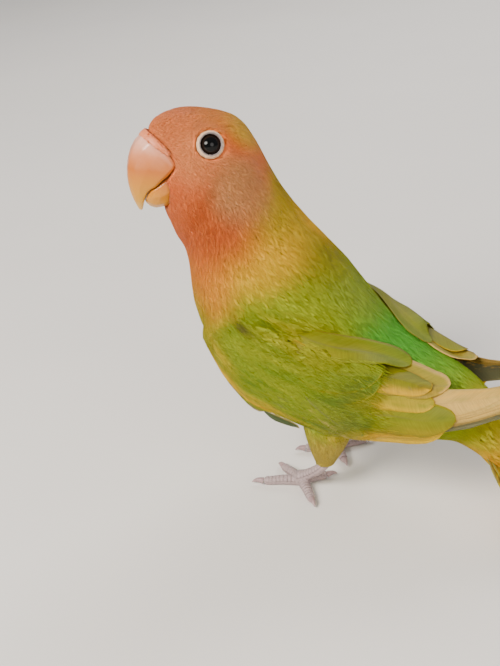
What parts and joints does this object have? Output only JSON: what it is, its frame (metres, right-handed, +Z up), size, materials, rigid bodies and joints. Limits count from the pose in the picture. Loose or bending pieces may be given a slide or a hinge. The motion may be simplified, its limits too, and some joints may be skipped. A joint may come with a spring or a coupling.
{
  "type": "lovebird",
  "caption": "Life-size standing peach-faced lovebird, a still museum-type model with its head turned left and its wings folded.",
  "frame": {"origin": "centre of the footprint of the whole bird, on the floor it stands on", "axes": "-X the way the body faces, -Y its left side, +Z up"},
  "size_m": [0.126, 0.0496, 0.1057],
  "materials": {
    "face_plumage": "soft salmon-orange feathers, matt",
    "neck_plumage": "golden-yellow feathers with an orange bib, matt",
    "body_plumage": "yellow-green feathers, bright green on the rump, matt",
    "wing_plumage": "yellow-green coverts and beige flight feathers, satin",
    "tail_plumage": "green and orange-yellow tail feathers with dusky bars, satin",
    "cere": "bare pale flesh, matt",
    "horn": "horn, pink at the root to yellow ochre, glossy",
    "eye": "wet dark eye, glossy",
    "eye_ring": "bare white skin, matt",
    "foot_skin": "grey scaled skin, matt",
    "claw": "grey-pink horn, satin"
  },
  "bodies": {
    "root": {"head": "face_plumage", "cere": "cere", "bill_upper": "horn", "bill_lower": "horn", "eye_left": "eye", "eye_right": "eye", "eye_ring_left": "eye_ring", "eye_ring_right": "eye_ring", "neck": "neck_plumage", "torso": "body_plumage", "wing_left": "wing_plumage", "wing_right": "wing_plumage", "tail": "tail_plumage", "thigh_left": "body_plumage", "thigh_right": "body_plumage", "foot_left": "foot_skin", "foot_right": "foot_skin", "claw_left_1": "claw", "claw_left_2": "claw", "claw_left_3": "claw", "claw_left_4": "claw", "claw_right_1": "claw", "claw_right_2": "claw", "claw_right_3": "claw", "claw_right_4": "claw"}
  },
  "joints": []
}
